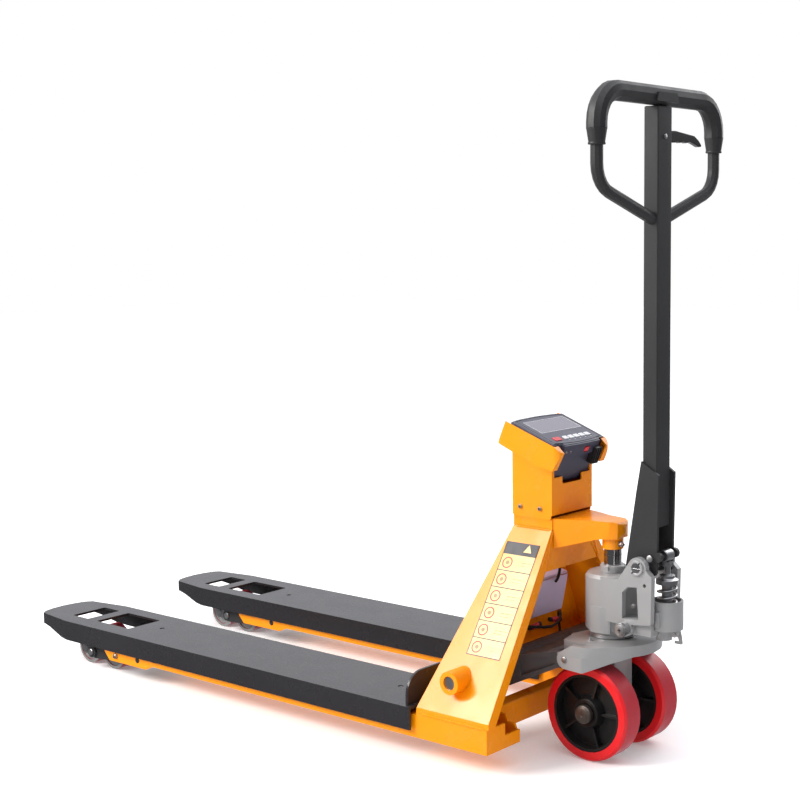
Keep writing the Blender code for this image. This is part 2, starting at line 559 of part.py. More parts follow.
def make_deck(side, name):
    def plan(outline):
        return [(x, side * y) for x, y in outline]

    deck = prism("z", plan(deck_outline(0)), (SKIRT_BOTTOM, DECK_TOP))
    under = DECK_TOP - DECK_SHEET
    cut(deck, prism("z", plan(deck_outline(4.5)), (SKIRT_BOTTOM - 5, under)))
    nose = [(-1450, 40), (-1296, 40), (-1296, SKIRT_BOTTOM + 0.1), (-1322, 59), (-1346, 65), (-1372, 72),
            (-1398, 76),
            (-1450, 76.5)]
    cut(deck, prism("y", nose, across(side, FORK_IN - 10, FORK_OUT + 10)))
    for start, end in ((-1330, -1275), (-1243, -1130)):
        window = rounded([(start, 149), (end, 149), (end, 236), (start, 236)], 4, 2)
        cut(deck, prism("z", plan(window), (under - 5, DECK_TOP + 5)))
    for x in (-1072, -363):
        cut(deck, rod("z", (x, side * 190, 0), 5.5, (under - 5, DECK_TOP + 5), 14))
    stop = [(118, 97), (272, 97)] + arc((232, 120), 40, 0, 90, 6) + [(118, 160)]
    add(deck, prism("x", [(side * y, z) for y, z in stop], (-276, -271)))
    node(deck, f"deck_{name}", DECK_GREY, 0.35, 0.2)
    for x, end in ((-940, "front"), (-335, "rear")):
        cell = box((x - 60, x + 60), across(side, 176, 206), (84.4, 95.2), 1)
        node(cell, f"load_cell_{name}_{end}", STEEL, 0.35, 0.9)


def make_roller_bracket(side, name):
    under = [(BOGIE_X - 14, -4), (BOGIE_X - 9, -12), (BOGIE_X + 8, -14)]
    arm = [(x, BOGIE_Z + z) for x, z in under] + [(BRACKET_X, BRACKET_Z - 14), (BRACKET_X + 12,
                                                                                BRACKET_Z - 7)]
    arm += [(BRACKET_X + 12, BRACKET_Z + 7), (BRACKET_X, BRACKET_Z + 14)]
    arm += [(x, BOGIE_Z - z) for x, z in reversed(under)]
    frame = rod("y", (BRACKET_X, 0, BRACKET_Z), 13.5, across(side, 128, 262), 24)
    for near, far in ((131, 140), (250, 259)):
        add(frame, prism("y", arm, across(side, near, far)))
    add(frame, rod("y", (BOGIE_X, 0, BOGIE_Z), 13, across(side, 253, 264), 20))
    add(frame, box((-1126, -1110), across(side, 135, 255), (38, 55), 1))
    add(frame, rod("y", (BRACKET_X, 0, BRACKET_Z), 6, across(side, 121.5, 268.5), 18))
    pin_x, pin_z = BRACKET_X + 10.41, BRACKET_Z + 32.37
    lug = [(BRACKET_X - 9, BRACKET_Z), (BRACKET_X + 10, BRACKET_Z), (pin_x + 8, pin_z), (pin_x + 5,
                                                                                         pin_z + 7),
           (pin_x - 3, pin_z + 8), (pin_x - 8, pin_z + 2)]
    add(frame, prism("y", lug, across(side, 183, 191.8)))
    add(frame, rod("y", (pin_x, 0, pin_z), 5, across(side, 187, 204), 16))
    cut(frame, rod("y", (BOGIE_X, 0, BOGIE_Z), 8.4, across(side, 120, 290), 20))
    node(frame, f"roller_bracket_{name}", CHARCOAL, 0.5, 0.3, (BRACKET_X, side * 195, BRACKET_Z))


def make_bogie(side, name):
    ends = LOAD_GAP + 13
    plate = [(-ends, -5), (-LOAD_GAP - 4, -13), (LOAD_GAP + 4, -13), (ends, -5), (ends, 5),
             (LOAD_GAP + 4, 13),
             (-LOAD_GAP - 4, 13), (-ends, 5)]
    plate = [(BOGIE_X + x, BOGIE_Z + z) for x, z in plate]
    bogie = prism("y", plate, across(side, 242.5, 247.5))
    add(bogie, prism("y", plate, across(side, 142.5, 147.5)))
    for x in (BOGIE_X - LOAD_GAP, BOGIE_X + LOAD_GAP):
        add(bogie, rod("y", (x, 0, BOGIE_Z), 7.5, across(side, 144, 246), 18))
    add(bogie, rod("y", (BOGIE_X, 0, BOGIE_Z), 8, across(side, 244.5, 266.5), 20))
    add(bogie, rod("y", (BOGIE_X, 0, BOGIE_Z), 8, across(side, 128.5, 145.5), 20))
    node(bogie, f"bogie_{name}", (0.5, 0.5, 0.5), 0.4, 0.7, (BOGIE_X, side * 195, BOGIE_Z))
    half = [(8, 153), (14, 155.5), (30, 155.5), (31, 153), (LOAD_R, 154)]
    face = half + [(r, 390 - y) for r, y in reversed(half)]
    for x, end in ((BOGIE_X - LOAD_GAP, "front"), (BOGIE_X + LOAD_GAP, "rear")):
        roller = lathe("y", (x, 0, BOGIE_Z), [(r, side * y) for r, y in face], 22)
        node(roller, f"load_roller_{name}_{end}", RED, 0.35, origin=(x, side * 195, BOGIE_Z))


# ---------------------------------------------------------------- linkage


def make_rocker():
    axis = Vector((SHAFT_X, 0, SHAFT_Z))
    reach = Vector((LINK_X - SHAFT_X, LINK_Z - SHAFT_Z))
    turn = Matrix.Translation(axis) @ Matrix.Rotation(-math.atan2(reach.y, reach.x), 4, "Y")
    rocker = rod("y", axis, 22, (-199, 199), 28)
    view = [(-22, 0), (-20, -22), (-11, -42), (2, -43), (126, -15), (142, -10.5)] + arc((158, 0), 10.5,
                                                                                        -90, 90, 8)
    view += [(142, 10.5), (129, 14), (20, 13), (0, 22), (-16, 16)]
    panel = [(34, -26), (118, -8.5), (118, 7), (34, 6)]
    slot = arc((158.4, -0.67), 6, -90, 90, 8) + arc((147.1, -0.67), 6, 90, 270, 8)
    for side in (-1, 1):
        add(rocker, prism("y", view, across(side, 86, 101), turn))
        cut(rocker, prism("y", panel, across(side, 97, 110), turn))
        cut(rocker, prism("y", panel, across(side, 80, 90), turn))
        cut(rocker, prism("y", slot, across(side, 80, 110), turn))
        lug = [(SHAFT_X - 18, SHAFT_Z - 6), (CRANK_X - 9, CRANK_Z - 5), (CRANK_X - 4, CRANK_Z - 9),
               (CRANK_X + 4, CRANK_Z - 9), (CRANK_X + 9, CRANK_Z - 5), (SHAFT_X + 20, SHAFT_Z - 6)]
        add(rocker, prism("y", lug, across(side, 183, 191.8)))
        add(rocker, rod("y", (CRANK_X, 0, CRANK_Z), 5, across(side, 187, 204), 16))
    add(rocker, prism("y", [(12, -10), (62, -8), (64, 2), (60, 6), (12, 12)], (-87, 87), turn))
    cut(rocker, rod("y", axis, SHAFT_R + 0.4, (-210, 210), 24))
    node(rocker, "rocker", (0.12, 0.12, 0.13), 0.4, 0.4, axis)


def make_push_rod(side, name):
    eye_x, eye_z = BRACKET_X + 10.41, BRACKET_Z + 32.37 + PIN_SLACK
    outline = [(CRANK_X + 7, CRANK_Z - 7), (CRANK_X - 8, CRANK_Z + 7), (-190, 112), (-244, 72), (-1016, 72),
               (eye_x + 8, eye_z + 7), (eye_x - 6, eye_z - 8), (eye_x + 12, 62), (-1018, 60), (-238, 60),
               (-182, 100)]
    bar = prism("y", outline, across(side, 192.3, 201.3))
    add(bar, rod("y", (CRANK_X, 0, CRANK_Z), 11.7, across(side, 192.3, 201.3), 22))
    add(bar, rod("y", (eye_x, 0, eye_z), 11.4, across(side, 192.3, 201.3), 22))
    cut(bar, rod("y", (CRANK_X, 0, CRANK_Z), 5.5, across(side, 180, 210), 18))
    cut(bar, rod("y", (eye_x, 0, eye_z), 7.0, across(side, 180, 210), 22))
    node(bar, f"push_rod_{name}", (0.1, 0.1, 0.1), 0.5, 0.4, (CRANK_X, side * 197, CRANK_Z))


# ---------------------------------------------------------------- indicator


def face_turn():
    return Matrix.Translation(FACE) @ Matrix.Rotation(FACE_TILT, 4, "Y")


def make_indicator_bracket():
    view = [(-187, 615), (-206, 573), (-113, 536), (-78, 530.5), (-61, 563), (-74, 575)]
    hood = prism("y", view, (-83, 83))
    plan = rounded([(-215, -83), (-60.9, -83), (-60.9, 83), (-215, 83)], 17, 8)
    keep_inside(hood, prism("z", plan, (500, 650)))
    room_view = [(-184, 640), (-202.2, 574.8), (-112.5, 539), (-80, 534), (-64.6, 563), (-79, 580)]
    room = prism("y", room_view, (-80.4, 80.4))
    room_plan = rounded([(-216, -80.3), (-64.3, -80.3), (-64.3, 80.3), (-216, 80.3)], 14, 8)
    keep_inside(room, prism("z", room_plan, (495, 655)))
    sides = [(-185.5, 434), (-99, 434), (-93, 440), (-93, 560), (-185.5, 560)]
    add(hood, prism("y", rounded(sides, 2.5, 3), (-64.4, 64.4)))
    cut(hood, room)
    cut(hood, box((-183, -95.5), (-61.9, 61.9), (430, 650)))
    cut(hood, box((-190, -182.9), (-70, 70), (430, 437.4)), box((-96, -90), (-70, 70), (430, 442.5)))
    cut(hood, prism("x", [(-31, 513), (-31, 502), (-28, 499), (28, 499), (31, 502), (31, 513)], (-100, -80)))
    cut(hood, box((-100, -50), (-57, 57), (513, 640)), box((-92.9, -50), (-68, 68), (513, 640)))
    cut(hood, box((-184, -60), (-75, 75), (577, 640)))
    for x in (-166, -120):
        cut(hood, rod("y", (x, 0, 453.6), 2.8, (-70, 70), 12))
    node(hood, "indicator_bracket", YELLOW, 0.3)


def make_indicator_case():
    turn = face_turn()
    front = [(52, -79.4), (54.5, -57), (62, -56), (63.5, 0), (62, 56), (54.5, 57), (52, 79.4)]
    back = [(-53, 79.4), (-57, 56), (-59, 0), (-57, -56), (-53, -79.4)]
    barrel = front + back
    case = prism("z", barrel, (-24, 0), turn)
    add(case, prism("z", [(x * 0.96, y * 0.97) for x, y in barrel], (-1, 1.6), turn))
    add(case, prism("y", [(-170, 500), (-106, 500), (-98, 512), (-82, 553), (-166, 590)], (-56, 56)))
    cut(case, prism("z", [(-40.5, -59), (6.4, -59), (6.4, 66), (-40.5, 66)], (0.2, 4), turn))
    places = [("power", -48, 20, 13)] + [(str(i + 1), -21.5 + 17.15 * i, 12, 11) for i in range(5)]
    for _, y, width, height in places:
        slack = 0.4
        cut(case, box((35.2 - height / 2 - slack, 35.2 + height / 2 + slack),
                      (y - width / 2 - slack, y + width / 2 + slack), (-3.5, 4), turn=turn))
    cut(case, box((55, 70), (9.6, 24.4), (-20.4, -7.6), turn=turn))
    node(case, "indicator_case", (0.035, 0.04, 0.06), 0.35)
    glass = box((-40.1, 6.0), (-58.6, 65.6), (0.5, 1.4), turn=turn)
    node(glass, "indicator_window", (0.2, 0.2, 0.24), 0.15)
    for label, y, width, height in places:
        x = 35.2
        pad = [(x - height / 2, y - width / 2), (x + height / 2, y - width / 2), (x + height / 2,
                                                                                  y + width / 2),
               (x - height / 2, y + width / 2)]
        key = prism("z", rounded(pad, 1.5, 2), (-2.0, 2.8), turn)
        colour = RED if label == "power" else (0.8, 0.8, 0.8)
        node(key, f"key_{label}", colour, 0.4, origin=turn @ Vector((x, y, 0)))
    switch = prism("y", [(56.6, -9.4), (62.5, -9), (64.6, -9.4), (63.4, -14), (62.9, -18.6), (61.6, -19),
                         (56.6, -18.6)],
                   (10, 24), turn)
    node(switch, "power_switch", RED, 0.3, origin=turn @ Vector((59.5, 17, -14)))


def smooth(points, steps):
    """A Catmull-Rom curve through the points."""
    knots = [Vector(p) for p in (points[0], *points, points[-1])]
    curve = []
    for a, b, c, d in zip(knots, knots[1:], knots[2:], knots[3:]):
        for step in range(steps):
            t = step / steps
            curve.append(0.5 * (2 * b + (c - a) * t + (2 * a - 5 * b + 4 * c - d) * t * t
                                + (3 * b - a - 3 * c + d) * t**3))
    return [tuple(point) for point in (*curve, knots[-1])]


def make_cables():
    upper = [(-155, 30, 292), (-148, 30, 304), (-140, 24, 332), (-140, 12, 384.4)]
    node(tube(smooth(upper, 4), 3.0, 1), "cable_indicator", BLACK, 0.45)
    half = [(-340, 150, 62), (-270, 150, 60), (-238, 148, 66), (-222, 140, 92), (-217, 132, 135), (-214,
                                                                                                   122, 178),
            (-204, 106, 210), (-176, 74, 222), (-152, 40, 218)]
    across_panel = [(x, -y, z) for x, y, z in half] + [(-142, 0, 212)] + list(reversed(half))
    node(tube(smooth(across_panel, 2), 3.0, 1), "cable_load_cells", BLACK, 0.45)


def main():
    clear_scene()
    make_wheels()
    make_axle()
    make_base_plate()
    make_pump_housing()
    make_pump_parts()
    make_drawbar()
    make_posts()
    make_top_box()
    make_back_panel()
    make_heel_beam()
    make_rocker()
    for side, name in ((-1, "right"), (1, "left")):
        make_channel(side, name)
        make_deck(side, name)
        make_roller_bracket(side, name)
        make_bogie(side, name)
        make_push_rod(side, name)
    make_indicator_bracket()
    make_indicator_case()
    make_cables()


main()
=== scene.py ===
"""Looks for the pallet scale: paints, metals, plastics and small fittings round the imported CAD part.

Lengths are metres in the part's own frame: +X towards the handle, +Z up, the floor at zero."""

import json
import math

import bmesh
import bpy
from mathutils import Matrix, Vector


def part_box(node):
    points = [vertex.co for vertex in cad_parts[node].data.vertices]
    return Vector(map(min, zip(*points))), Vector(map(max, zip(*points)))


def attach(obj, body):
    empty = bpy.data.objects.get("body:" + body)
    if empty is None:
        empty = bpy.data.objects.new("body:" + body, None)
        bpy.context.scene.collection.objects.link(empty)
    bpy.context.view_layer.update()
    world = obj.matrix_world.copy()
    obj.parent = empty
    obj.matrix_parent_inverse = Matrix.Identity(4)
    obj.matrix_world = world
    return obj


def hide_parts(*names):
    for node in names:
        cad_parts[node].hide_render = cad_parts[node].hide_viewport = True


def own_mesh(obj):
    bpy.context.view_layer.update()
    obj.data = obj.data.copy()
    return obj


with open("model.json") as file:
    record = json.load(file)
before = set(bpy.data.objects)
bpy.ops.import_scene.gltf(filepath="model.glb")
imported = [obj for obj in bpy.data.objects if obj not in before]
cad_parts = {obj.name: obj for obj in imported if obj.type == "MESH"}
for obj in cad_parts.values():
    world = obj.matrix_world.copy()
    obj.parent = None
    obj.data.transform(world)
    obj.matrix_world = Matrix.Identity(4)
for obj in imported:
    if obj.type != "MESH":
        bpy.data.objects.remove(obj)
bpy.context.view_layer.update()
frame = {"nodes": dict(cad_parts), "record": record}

MM = 0.001
SIDES = (("right", -1), ("left", 1))
QUARTER = math.pi / 2

# The slope of the A-frame's posts and of the indicator's face
POST_LEAN, FACE_SLOPE = 0.654, 0.371
POST_TOP_HALF = 62 * MM


# ---------------------------------------------------------------- camera and light

LENS, SENSOR_WIDTH = 67.55, 36
LENS_SHIFT = (-0.168, -0.0025)
CAMERA_AHEAD, CAMERA_Y, CAMERA_Z = 1.5443, -2.265, 0.9676
CAMERA_AZIMUTH, CAMERA_DIP, CAMERA_ROLL = (math.radians(angle) for angle in (37.31, 6.33, -0.23))
LIGHTS_AIM = Vector((0.1, 0, 0.35))
AMBIENT = 0.14


def middle(node):
    low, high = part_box(node)
    return (low + high) / 2


steer_axis = middle("lift_piston")


def make_camera():
    """A long lens at chest height, in front of the right side of the pump."""
    data = bpy.data.cameras.new("camera")
    data.lens, data.sensor_width = LENS, SENSOR_WIDTH
    data.shift_x, data.shift_y = LENS_SHIFT
    data.clip_end = 60
    camera = bpy.data.objects.new("camera", data)
    bpy.context.scene.collection.objects.link(camera)
    camera.location = (steer_axis.x + CAMERA_AHEAD, CAMERA_Y, CAMERA_Z)
    level = math.cos(CAMERA_DIP)
    ahead = (-math.sin(CAMERA_AZIMUTH) * level, math.cos(CAMERA_AZIMUTH) * level, -math.sin(CAMERA_DIP))
    forward = Vector(ahead)
    camera.rotation_mode = "QUATERNION"
    turn = Matrix.Rotation(-CAMERA_ROLL, 3, forward) @ forward.to_track_quat("-Z", "Y").to_matrix()
    camera.rotation_quaternion = turn.to_quaternion()
    bpy.context.scene.camera = camera


def soft_light(name, place, size, power, colour=(1, 1, 1)):
    """A square soft box that faces the middle of the truck."""
    data = bpy.data.lights.new(name, "AREA")
    data.shape, data.size, data.energy, data.color = "SQUARE", size, power, colour
    light = bpy.data.objects.new(name, data)
    bpy.context.scene.collection.objects.link(light)
    light.location = place
    light.rotation_mode = "QUATERNION"
    light.rotation_quaternion = (LIGHTS_AIM - Vector(place)).to_track_quat("-Z", "Y")


def math_of(tree, operation, *values):
    """What a Math node makes of its values, each a number or an output socket."""
    node = tree.nodes.new("ShaderNodeMath")
    node.operation = operation
    for socket, value in zip(node.inputs, values):
        if isinstance(value, float):
            socket.default_value = value
        else:
            tree.links.new(value, socket)
    return node.outputs["Value"]


def sky_level(tree, direction, toward, start, end, level):
    """How bright the surroundings are near one direction, fading out away from it."""
    near = tree.nodes.new("ShaderNodeVectorMath")
    near.operation = "DOT_PRODUCT"
    near.inputs[1].default_value = Vector(toward).normalized()
    tree.links.new(direction, near.inputs[0])
    fade = tree.nodes.new("ShaderNodeMapRange")
    fade.interpolation_type = "SMOOTHSTEP"
    for socket, number in (("From Min", start), ("From Max", end), ("To Min", 0.0), ("To Max", level)):
        fade.inputs[socket].default_value = number
    tree.links.new(near.outputs["Value"], fade.inputs["Value"])
    return fade.outputs["Result"]


def make_world():
    """White to look at. What lights the truck is a dim room with a bright ceiling and a pale wall behind."""
    world = bpy.data.worlds.new("studio")
    world.use_nodes = True
    tree = world.node_tree
    direction = tree.nodes.new("ShaderNodeTexCoord").outputs["Generated"]
    ceiling = sky_level(tree, direction, (0, 0, 1), start=0.45, end=0.85, level=1.35)
    wall = sky_level(tree, direction, (-0.6, 0.79, 0.0), start=0.35, end=0.95, level=0.75)
    room = tree.nodes["Background"]
    room.inputs["Color"].default_value = (0.94, 0.95, 1.0, 1)
    brightness = math_of(tree, "ADD", math_of(tree, "ADD", ceiling, AMBIENT), wall)
    tree.links.new(brightness, room.inputs["Strength"])
    white = tree.nodes.new("ShaderNodeBackground")
    white.inputs["Color"].default_value = (1, 1, 1, 1)
    choose = tree.nodes.new("ShaderNodeMixShader")
    tree.links.new(tree.nodes.new("ShaderNodeLightPath").outputs["Is Camera Ray"], choose.inputs["Fac"])
    tree.links.new(room.outputs["Background"], choose.inputs[1])
    tree.links.new(white.outputs["Background"], choose.inputs[2])
    tree.links.new(choose.outputs["Shader"], tree.nodes["World Output"].inputs["Surface"])
    bpy.context.scene.world = world


def make_studio():
    bpy.context.scene.view_settings.view_transform = "Standard"
    make_world()
    soft_light("key", (-1.5, -2.9, 2.5), size=1.7, power=165, colour=(1.0, 0.98, 0.95))
    soft_light("back_fill", (0.6, 3.4, 2.2), size=2.2, power=45)
    bm = bmesh.new()
    bmesh.ops.create_grid(bm, x_segments=1, y_segments=1, size=14)
    floor = raw_object("floor", bm)
    paper = simple_material("floor_paper", (0.93, 0.93, 0.93), 0.9)
    glow = paper.node_tree.nodes["Principled BSDF"]
    glow.inputs["Emission Color"].default_value = (1, 1, 1, 1)
    glow.inputs["Emission Strength"].default_value = 0.2
    floor.data.materials.append(paper)
    floor.visible_glossy = False


# ---------------------------------------------------------------- materials

DUST_COLOUR = (0.42, 0.40, 0.37)
GRAIN_HEIGHT, LUMP_HEIGHT = 0.2 * MM, 1.0 * MM

# The look of each slot of the record, and of a few fittings that only exist here: what surface() takes
LOOKS = {
    "yellow_paint": dict(
        colour=(0.93, 0.285, 0.001), second=(0.95, 0.305, 0.002), roughness=0.25, patch=5, grain=420,
        grain_depth=0.05, lumps=0.05, lump_scale=90, dust=0.03, specular=0.42),
    "charcoal_paint": dict(
        colour=(0.033, 0.033, 0.034), second=(0.038, 0.038, 0.039), roughness=0.45, grain=900,
        grain_depth=0.25, dust=0.04, specular=0.22),
    "deck_paint": dict(
        colour=(0.020, 0.019, 0.021), second=(0.024, 0.023, 0.026), roughness=0.27, patch=4, spread=0.03,
        grain=700, grain_depth=0.10, dust=0.04),
    "silver_paint": dict(
        colour=(0.36, 0.36, 0.36), second=(0.41, 0.41, 0.41), roughness=0.40, metallic=0.3, grain=500,
        grain_depth=0.30, lumps=0.35, lump_scale=140, dust=0.05),
    "rocker_paint": dict(
        colour=(0.085, 0.088, 0.09), second=(0.11, 0.113, 0.118), roughness=0.42, grain=500, grain_depth=0.25,
        lumps=0.3, lump_scale=110, dust=0.15),
    "hub_iron": dict(
        colour=(0.009, 0.008, 0.008), second=(0.016, 0.014, 0.013), roughness=0.42, grain=420,
        grain_depth=0.35, lumps=0.4, lump_scale=120, coat=0.2),
    "steel": dict(
        colour=(0.62, 0.62, 0.63), second=(0.52, 0.52, 0.53), roughness=0.36, metallic=1.0, spread=0.1,
        grain=240, grain_depth=0.12, stretch=(1, 9, 1)),
    "axle_steel": dict(
        colour=(0.17, 0.14, 0.125), second=(0.28, 0.24, 0.21), roughness=0.42, metallic=0.9, patch=60,
        grain=300, grain_depth=0.3),
    "chrome": dict(
        colour=(0.50, 0.50, 0.51), roughness=0.14, metallic=1.0, spread=0.04, grain=160, grain_depth=0.04,
        stretch=(1, 1, 18)),
    "grip_rubber": dict(
        colour=(0.024, 0.024, 0.025), second=(0.030, 0.030, 0.031), roughness=0.50, grain=800,
        grain_depth=0.5, dust=0.08),
    "black_plastic": dict(colour=(0.016, 0.016, 0.017), roughness=0.36, grain=900, grain_depth=0.25),
    "case_plastic": dict(
        colour=(0.052, 0.053, 0.085), second=(0.058, 0.059, 0.094), roughness=0.34, grain=1100,
        grain_depth=0.30, dust=0.05),
    "box_plastic": dict(
        colour=(0.66, 0.57, 0.80), second=(0.72, 0.62, 0.86), roughness=0.44, grain=800, grain_depth=0.2,
        dust=0.1),
    "red_plastic": dict(colour=(0.72, 0.025, 0.035), roughness=0.28, grain=900, grain_depth=0.1, coat=0.2),
    "key_plastic": dict(
        colour=(0.80, 0.80, 0.82), second=(0.74, 0.74, 0.77), roughness=0.35, grain=900, grain_depth=0.15),
    "cable_rubber": dict(colour=(0.012, 0.012, 0.012), roughness=0.42, grain=900, grain_depth=0.3),
    "cell_alloy": dict(
        colour=(0.56, 0.56, 0.58), roughness=0.34, metallic=1.0, spread=0.1, grain=300, grain_depth=0.2,
        stretch=(1, 14, 14)),
    "zinc": dict(
        colour=(0.66, 0.66, 0.67), second=(0.58, 0.58, 0.57), roughness=0.42, metallic=1.0, patch=80,
        grain=400, grain_depth=0.15),
    "sticker_film": dict(
        colour=(0.74, 0.47, 0.10), second=(0.77, 0.50, 0.12), roughness=0.36, patch=14, grain=600,
        grain_depth=0.06, coat=0.3),
    "sticker_ink": dict(colour=(0.030, 0.027, 0.033), roughness=0.40, grain=600, grain_depth=0.08),
    "sticker_red": dict(colour=(0.52, 0.035, 0.03), roughness=0.38, grain=600, grain_depth=0.08),
    "sticker_brown": dict(colour=(0.42, 0.24, 0.10), roughness=0.4, grain=600, grain_depth=0.08),
    # Painted shade: a near-black that stands for the shade inside slots and notches, which are drawn as dark
    # bars, not cut
    "painted_slot_shade": dict(colour=(0.006, 0.006, 0.007), roughness=0.6, grain=300, grain_depth=0.2),
}

# The tread and the flanks of the steering tyres and of the load rollers
WHEEL_COLOURS = {
    "tyre_red": ((0.50, 0.028, 0.044), (0.72, 0.004, 0.008)),
    "roller_red": ((0.33, 0.02, 0.035), (0.25, 0.25, 0.25)),
}
WHEEL_ROUGHNESS = 0.40


def simple_material(name, colour, roughness, metallic=0.0):
    material = bpy.data.materials.new(name)
    material.use_nodes = True
    shader = material.node_tree.nodes["Principled BSDF"]
    shader.inputs["Base Color"].default_value = (*colour, 1)
    shader.inputs["Roughness"].default_value = roughness
    shader.inputs["Metallic"].default_value = metallic
    return material


def noise(tree, coordinates, scale, detail=4.0, stretch=None):
    texture = tree.nodes.new("ShaderNodeTexNoise")
    texture.inputs["Scale"].default_value = scale
    texture.inputs["Detail"].default_value = detail
    if stretch:
        mapping = tree.nodes.new("ShaderNodeMapping")
        mapping.inputs["Scale"].default_value = stretch
        tree.links.new(coordinates, mapping.inputs["Vector"])
        coordinates = mapping.outputs["Vector"]
    tree.links.new(coordinates, texture.inputs["Vector"])
    return texture.outputs["Fac"]


def ranged(tree, value, low, high, start=0.3, end=0.7):
    """Maps a noise value to a range, with most of its swing kept."""
    node = tree.nodes.new("ShaderNodeMapRange")
    for socket, number in (("From Min", start), ("From Max", end), ("To Min", low), ("To Max", high)):
        node.inputs[socket].default_value = number
    tree.links.new(value, node.inputs["Value"])
    return node.outputs["Result"]


def mixed(tree, factor, first, second):
    """Mixes two colours, each a triple or an output socket."""
    node = tree.nodes.new("ShaderNodeMix")
    node.data_type = "RGBA"
    tree.links.new(factor, node.inputs["Factor"])
    for socket, colour in ((node.inputs[6], first), (node.inputs[7], second)):
        if isinstance(colour, tuple):
            socket.default_value = (*colour, 1)
        else:
            tree.links.new(colour, socket)
    return node.outputs[2]


def dust_amount(tree, place, most):
    """Specks on what faces up, from none to most."""
    split = tree.nodes.new("ShaderNodeSeparateXYZ")
    tree.links.new(tree.nodes.new("ShaderNodeNewGeometry").outputs["Normal"], split.inputs["Vector"])
    specks = ranged(tree, noise(tree, place, 140.0, 8.0), 0.0, most, 0.45, 0.75)
    upward = ranged(tree, split.outputs["Z"], 0.0, 1.0, 0.3, 1.0)
    return math_of(tree, "MULTIPLY", specks, upward)


def add_bumps(tree, shader, layers):
    """Gives a shader its bumps, one on another. Each layer is a height, a strength and a real depth."""
    normal = None
    for height, strength, distance in layers:
        if not strength:
            continue
        bump = tree.nodes.new("ShaderNodeBump")
        bump.inputs["Strength"].default_value = strength
        bump.inputs["Distance"].default_value = distance
        tree.links.new(height, bump.inputs["Height"])
        if normal:
            tree.links.new(normal, bump.inputs["Normal"])
        normal = bump.outputs["Normal"]
    if normal:
        tree.links.new(normal, shader.inputs["Normal"])


def surface(name, colour, roughness, metallic=0.0, second=None, patch=9.0, spread=0.06, grain=600.0,
            grain_depth=0.0, lumps=0.0, lump_scale=60.0, coat=0.0, stretch=None, dust=0.0, specular=0.5):
    """A Principled surface with colour drifting between two tones, uneven roughness, fine grain, low lumps and
    a little dust on what faces up."""
    material = simple_material(name, colour, roughness, metallic)
    tree = material.node_tree
    shader = tree.nodes["Principled BSDF"]
    place = tree.nodes.new("ShaderNodeTexCoord").outputs["Object"]
    drift = ranged(tree, noise(tree, place, patch), 0.0, 1.0)
    tint = mixed(tree, drift, colour, second or tuple(part * 0.86 for part in colour))
    if dust:
        tint = mixed(tree, dust_amount(tree, place, dust), tint, DUST_COLOUR)
    tree.links.new(tint, shader.inputs["Base Color"])
    fine = noise(tree, place, grain, 3.0, stretch)
    uneven = noise(tree, place, patch * 4.5, 6.0, stretch)
    rough = ranged(tree, uneven, max(roughness - spread, 0.02), roughness + spread)
    tree.links.new(rough, shader.inputs["Roughness"])
    shader.inputs["Coat Weight"].default_value = coat
    shader.inputs["Coat Roughness"].default_value = 0.08
    shader.inputs["Specular IOR Level"].default_value = specular
    coarse = noise(tree, place, lump_scale)
    add_bumps(tree, shader, ((fine, grain_depth, GRAIN_HEIGHT), (coarse, lumps, LUMP_HEIGHT)))
    return material


def two_faced(name, tread, flank, roughness):
    """A surface with one colour round the rim of a wheel that turns about Y, and another on its two sides."""
    material = surface(name, tread, roughness, spread=0.1, grain=260, grain_depth=0.25, lumps=0.15,
                       lump_scale=40)
    tree = material.node_tree
    shader = tree.nodes["Principled BSDF"]
    split = tree.nodes.new("ShaderNodeSeparateXYZ")
    tree.links.new(tree.nodes.new("ShaderNodeTexCoord").outputs["Normal"], split.inputs["Vector"])
    side = ranged(tree, math_of(tree, "ABSOLUTE", split.outputs["Y"]), 0.0, 1.0, 0.35, 0.75)
    rim = shader.inputs["Base Color"].links[0].from_socket
    tree.links.new(mixed(tree, side, rim, flank), shader.inputs["Base Color"])
    return material


def make_materials():
    made = {name: surface(name, **look) for name, look in LOOKS.items()}
    for name, (tread, flank) in WHEEL_COLOURS.items():
        made[name] = two_faced(name, tread, flank, WHEEL_ROUGHNESS)
    made["window_glass"] = display_material()
    return made


def display_material():
    """A smoked display cover over a faint upright grille."""
    material = simple_material("window_glass", (0.16, 0.15, 0.19), 0.12)
    tree = material.node_tree
    shader = tree.nodes["Principled BSDF"]
    coordinates = tree.nodes.new("ShaderNodeTexCoord").outputs["Object"]
    wave = tree.nodes.new("ShaderNodeTexWave")
    wave.wave_type, wave.bands_direction = "BANDS", "Y"
    wave.inputs["Scale"].default_value = 62.0
    tree.links.new(coordinates, wave.inputs["Vector"])
    stripes = ranged(tree, wave.outputs["Fac"], 0.0, 1.0, 0.35, 0.65)
    tree.links.new(mixed(tree, stripes, (0.15, 0.14, 0.19), (0.23, 0.21, 0.25)), shader.inputs["Base Color"])
    tree.links.new(ranged(tree, noise(tree, coordinates, 60), 0.08, 0.2), shader.inputs["Roughness"])
    shader.inputs["Coat Weight"].default_value = 0.8
    shader.inputs["Coat Roughness"].default_value = 0.04
    return material


# Widths of the rounded edges, in millimetres: castings and mouldings by name, pressed sheets, and the rest
SOFT_EDGES = {
    "base_plate": 2.2, "pump_housing": 1.6, "frame_top_box": 2.5, "rocker": 1.5, "wheel_column": 1.0,
    "indicator_case": 1.0, "drawbar_tube": 0.4, "handle_grip": 1.0, "hand_lever": 1.4, "junction_box": 1.0,
    "steer_hub_right": 1.0, "steer_hub_left": 1.0,
}
SHEETS = ("deck", "frame_post", "fork_channel", "drawbar_bracket", "frame_back_panel", "heel_beam")
SHEET_EDGE, SMALL_EDGE = 1.2, 0.4


